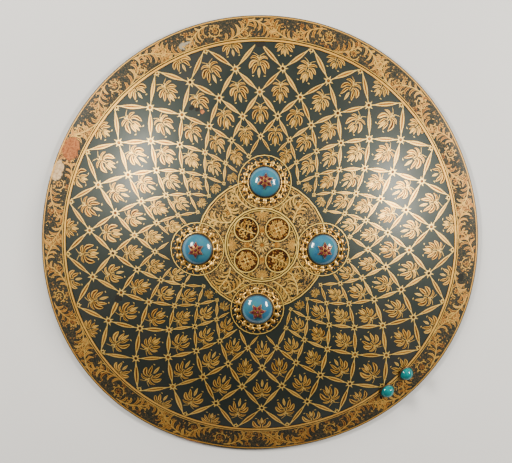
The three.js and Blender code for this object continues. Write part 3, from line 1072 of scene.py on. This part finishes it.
def paint_boss_grounds(work):
    """The ring and dots painted round each boss, where the lattice ends."""
    for radius, angle, _ in BOSSES.values():
        centre = polar(radius, angle)
        work.ring(centre, BOSS_RING, 0.0010, 1.05, backing=0.0012, lift=LIFT * 3.0)
        for k in range(22):
            spot = centre + polar(0.0272, 360 / 22 * k)
            tip = centre + polar(0.0296, 360 / 22 * k + 6)
            work.stroke(bezier(spot, tip, steps=2), leaf_widths(3, 0.0012), 0.6, 0.5)


# ---- bosses ----
CAP_RADIUS = 0.0182
CAP_SKIRT = 0.0016
CAP_RISE = 0.0096
CAP_SHADE_START = 0.0163  # past this the cap's colour is painted dark, as shade under the collar's lip and dark reflection on the steep rim
GAP = 0.00035
SHANK = 0.0022
SHANK_HOLE = SHANK + 0.0004
HEAD = 0.0042
GRIP_GAP = 0.0009
GRIP_THICKNESS = 0.0034
ROVE_RADIUS = 0.0080
ROVE_THICKNESS = 0.0014
ROVE_BACK = -HIDE - GRIP_GAP - GRIP_THICKNESS - GAP - ROVE_THICKNESS


def dome_points(radius, rise, foot, steps):
    """Profile points of a shallow cap, from its rim to its top."""
    sphere = (radius**2 + rise**2) / (2 * rise)
    top = foot + rise
    points = []
    for i in range(steps, -1, -1):
        r = radius * math.sin(math.pi / 2 * i / steps)
        points.append((r, top - sphere + math.sqrt(sphere**2 - r * r)))
    return points


def make_cap(name, matrix, enamel):
    head = ROVE_BACK - GAP
    profile = [(0.0, head - 0.002), (HEAD * 0.45, head - 0.0018), (HEAD * 0.85, head - 0.0011)]
    profile += [(HEAD, head - 0.0004), (HEAD, head), (SHANK, head), (SHANK, GAP)]
    profile += [(CAP_RADIUS - 0.0003, GAP), (CAP_RADIUS, GAP + 0.0003)]
    profile += dome_points(CAP_RADIUS, CAP_RISE, GAP + CAP_SKIRT, 14)
    cap = turned(f"boss_{name}_enamel_cap", profile, 64, enamel)
    points = np.array([v.co for v in cap.data.vertices])
    far = np.hypot(points[:, 0], points[:, 1])
    # The cap's outer rim is painted dark as shade and dark reflection; the shank and its head are
    # bare metal.
    shade_and_bare = np.clip((far - CAP_SHADE_START) / (CAP_RADIUS - CAP_SHADE_START) * 2, 0, 1)
    shade_and_bare[points[:, 2] < GAP * 1.01] = 1  # the shank and its head carry no enamel
    cap.data.attributes.new("edge", "FLOAT", "POINT").data.foreach_set("value", shade_and_bare)
    return show(stand(cap, matrix), "blue_enamel", f"boss_{name}_cap")


def laid_on_dome(piece):
    """Lets a flat ring sink at its edges, to follow the dome under a boss."""
    for vertex in piece.data.vertices:
        r = math.hypot(vertex.co.x, vertex.co.y)
        vertex.co.z -= DOME - math.sqrt(DOME**2 - r * r)


def make_bead(name, finish, size, place, taper, heading, rings=(12, 8)):
    """A rounded drop: length, width and height, drawn to a point at its outer end."""
    deselect()
    bpy.ops.mesh.primitive_uv_sphere_add(segments=rings[0], ring_count=rings[1], radius=1)
    bead = bpy.context.object
    bead.name = name
    for vertex in bead.data.vertices:
        narrow = 1 - taper * max(vertex.co.x, -0.3)
        vertex.co = vertex.co * Vector(size) * Vector((1, narrow, 1))
    turn = Matrix.Rotation(math.radians(heading), 4, "Z")
    bead.data.transform(Matrix.Translation(place) @ turn)
    bead.data.materials.append(finish)
    bpy.ops.object.shade_smooth()
    bead.select_set(False)
    return bead


def make_collar(name, matrix, gilt):
    """A lip round the cap, webbed to an outer wire that carries sixteen leaves and buds."""
    low = GAP + 0.0001
    lip = [(0.0186, low), (0.0196, low), (0.0198, low + 0.0008), (0.0195, low + 0.0014)]
    lip += [(0.0190, low + 0.0016), (0.0186, low + 0.0011), (0.0186, low)]
    outer = [(0.0229, low), (0.0240, low), (0.0242, low + 0.0006), (0.0236, low + 0.0010)]
    outer += [(0.0229, low + 0.0006), (0.0229, low)]
    parts = [turned("lip", lip, 96, gilt), turned("outer wire", outer, 96, gilt)]
    for k in range(16):
        heading = 22.5 * k
        wide = 0.9 + 0.2 * math.sin(k * 2.7)
        leaf = Vector((*polar(0.0244, heading), low + 0.0007))
        parts.append(make_bead("leaf", gilt, (0.0025, 0.0034 * wide, 0.0011), leaf, 0.60, heading))
        web = Vector((*polar(0.0210, heading), low + 0.0007))
        parts.append(make_bead("web", gilt, (0.0025, 0.0022, 0.0010), web, -0.25, heading, (10, 8)))
        beside = heading + 11.25
        bud = Vector((*polar(0.0262, beside), low + 0.0005))
        parts.append(make_bead("bud", gilt, (0.0010, 0.0008, 0.0007), bud, 0.3, beside, (8, 6)))
    collar = joined(f"boss_{name}_gilt_collar", parts)
    laid_on_dome(collar)
    stand(collar, matrix)
    return show(collar, "gilt_metal", f"boss_{name}_collar")


def softened_copy(node, name, finish, width, segments=2, angle=30):
    """A copy of a CAD node with its edges eased."""
    piece = bpy.data.objects.new(name, nodes[node].data.copy())
    piece.data.name = name
    bpy.context.scene.collection.objects.link(piece)
    work = bmesh.new()
    work.from_mesh(piece.data)
    bmesh.ops.remove_doubles(work, verts=work.verts, dist=1e-6)
    flat = math.radians(1.5)
    bmesh.ops.dissolve_limit(work, angle_limit=flat, verts=work.verts, edges=work.edges)
    work.to_mesh(piece.data)
    work.free()
    piece.data.materials.clear()
    piece.data.materials.append(finish)
    deselect()
    bpy.context.view_layer.objects.active = piece
    piece.select_set(True)
    bevel = piece.modifiers.new("eased edges", "BEVEL")
    bevel.width = width
    bevel.segments = segments
    bevel.angle_limit = math.radians(angle)
    bpy.ops.object.modifier_apply(modifier=bevel.name)
    bpy.ops.object.shade_smooth_by_angle(angle=math.radians(40))
    piece.select_set(False)
    return piece


def make_boss(name, finishes):
    radius, angle, turn = BOSSES[name]
    matrix = seat_matrix(radius, angle, turn)
    make_cap(name, matrix, finishes["enamel"])
    make_collar(name, matrix, finishes["gilt"])
    star = f"boss_{name}_star"
    setting = softened_copy(star, f"{star}_setting", finishes["star gilt"], 0.00012)
    show(setting, "gilt_metal", star)
    for stone in (*range(1, 7), "centre"):
        nodes[f"boss_{name}_ruby_{stone}"].data.materials.clear()
        nodes[f"boss_{name}_ruby_{stone}"].data.materials.append(finishes["ruby"])
    low, top = ROVE_BACK, ROVE_BACK + ROVE_THICKNESS
    hole, rim = SHANK_HOLE, ROVE_RADIUS
    profile = [(hole, low), (rim - 0.0009, low), (rim - 0.0003, low + 0.0003), (rim, low + 0.0009)]
    profile += [(rim, top), (hole, top), (hole, low)]
    rove = stand(turned(f"boss_{name}_rove_plate", profile, 48, finishes["dark"]), matrix)
    show(rove, "dark_metal", f"boss_{name}_rove")


def make_stud(name, finishes):
    radius, angle = STUDS[name]
    matrix = seat_matrix(radius, angle, lift=STUD_LIFT)
    foot = GAP + 0.0001
    profile = [(0.0, foot), (STUD_RADIUS, foot)]
    profile += dome_points(STUD_RADIUS, STUD_RISE, GAP + 0.001, 12)
    stone = stand(turned(f"stud_{name}_stone", profile, 48, finishes["turquoise"]), matrix)
    show(stone, "turquoise", f"stud_{name}_turquoise")
    inner, outer = STUD_RADIUS + GAP, BEZEL_OUTER
    ring = [(inner, GAP), (outer, GAP), (outer - 0.0001, GAP + 0.0008)]
    ring += [(outer - 0.0005, GAP + 0.0012), (inner + 0.0002, GAP + 0.0013)]
    ring += [(inner, GAP + 0.0010), (inner, GAP)]
    bezel = stand(turned(f"stud_{name}_seat", ring, 48, finishes["dark"]), matrix)
    show(bezel, "dark_metal", f"stud_{name}_bezel")


# ---- grips ----
def make_grip(side, finishes):
    grip = softened_copy(f"grip_{side}", f"leather_grip_{side}", finishes["grip"], 0.0007, 3, 50)
    show(grip, "grip_leather", f"grip_{side}")


# ---- the whole shield ----
def make_shield():
    finishes = {
        "lacquer": lacquer_finish(),
        "gold": gold_paint_finish("gold paint"),
        "border gold": gold_paint_finish("border gold paint", BORDER_SHADE, 0.45, 0.48),
        "gilt": gilt_finish("gilt metal"),
        "star gilt": gilt_finish("reddish gilt", STAR_SHADE),
        "dark": dark_metal_finish(),
        "enamel": enamel_finish(),
        "ruby": ruby_finish(),
        "turquoise": turquoise_finish(),
        "grip": grip_finish(),
    }
    make_hide(finishes["lacquer"])
    bars, sprays = paint_lattice()
    middle = paint_middle()
    paint_boss_grounds(middle)
    for work in (bars, sprays, middle):
        work.finish(finishes["gold"])
    paint_border().finish(finishes["border gold"])
    for name in BOSSES:
        make_boss(name, finishes)
    for name in STUDS:
        make_stud(name, finishes)
    for side in ("north", "south"):
        make_grip(side, finishes)


# ---- camera, floor and lights ----
UPWARD = 45  # the side of the shield that is uppermost in the view
CAMERA_DISTANCE = 2.6
LAMP_DISTANCE = 2.0
WARM = (1.0, 0.935, 0.82)


def in_view(across, upward, height=0.0):
    """A place given across and up the view, on the shield's own axes."""
    a = math.radians(UPWARD)
    right = Vector((math.sin(a), -math.cos(a), 0))
    up = Vector((math.cos(a), math.sin(a), 0))
    return right * across + up * upward + Vector((0, 0, height))


def aim(thing, target, up):
    back = (thing.location - target).normalized()
    right = up.cross(back).normalized()
    axes = Matrix((right, back.cross(right), back)).transposed().to_4x4()
    thing.matrix_world = Matrix.Translation(thing.location) @ axes


def add_camera():
    data = bpy.data.cameras.new("view")
    camera = bpy.data.objects.new("view", data)
    bpy.context.scene.collection.objects.link(camera)
    data.sensor_width = 36
    data.lens = 153.9
    data.clip_end = 20
    target = in_view(-0.00403, 0.00647)
    lean_across = math.sin(math.radians(-1.614))
    lean_up = math.sin(math.radians(5.158))
    upright = math.sqrt(1 - lean_across**2 - lean_up**2)
    camera.location = target + in_view(lean_across, lean_up, upright) * CAMERA_DISTANCE
    aim(camera, target, in_view(0, 1))
    bpy.context.scene.camera = camera


def add_softbox(name, zenith, direction, size, watts):
    """A soft light at an angle from straight up, and in a direction across the view."""
    data = bpy.data.lights.new(name, "AREA")
    data.shape = "RECTANGLE"
    data.size, data.size_y = size
    data.energy = watts
    data.color = WARM
    lamp = bpy.data.objects.new(name, data)
    bpy.context.scene.collection.objects.link(lamp)
    flat = math.sin(math.radians(zenith))
    across = flat * math.cos(math.radians(direction))
    upward = flat * math.sin(math.radians(direction))
    lamp.location = in_view(across, upward, math.cos(math.radians(zenith))) * LAMP_DISTANCE
    aim(lamp, Vector((0, 0, 0.05)), in_view(0, 1))
    return lamp


def add_surroundings():
    deselect()
    bpy.ops.mesh.primitive_plane_add(size=12)
    floor = bpy.context.object
    floor.name = "floor"
    f = Finish("pale floor")
    tone = f.ramp(f.noise(2.0), (0.4, (0.60, 0.61, 0.63)), (0.6, (0.63, 0.64, 0.66)))
    floor.data.materials.append(f.set(Base_Color=tone, Roughness=0.85))
    world = bpy.data.worlds.new("studio")
    bpy.context.scene.world = world
    world.use_nodes = True
    background = world.node_tree.nodes["Background"]
    background.inputs["Color"].default_value = (0.90, 0.86, 0.80, 1)
    background.inputs["Strength"].default_value = 0.10
    add_softbox("left softbox", 54, 153, (0.34, 0.85), 66)
    add_softbox("right softbox", 57, 13, (0.30, 0.80), 70)
    fill = add_softbox("top softbox", 58, 88, (1.2, 0.6), 34)
    fill.visible_glossy = False


make_shield()
add_camera()
add_surroundings()
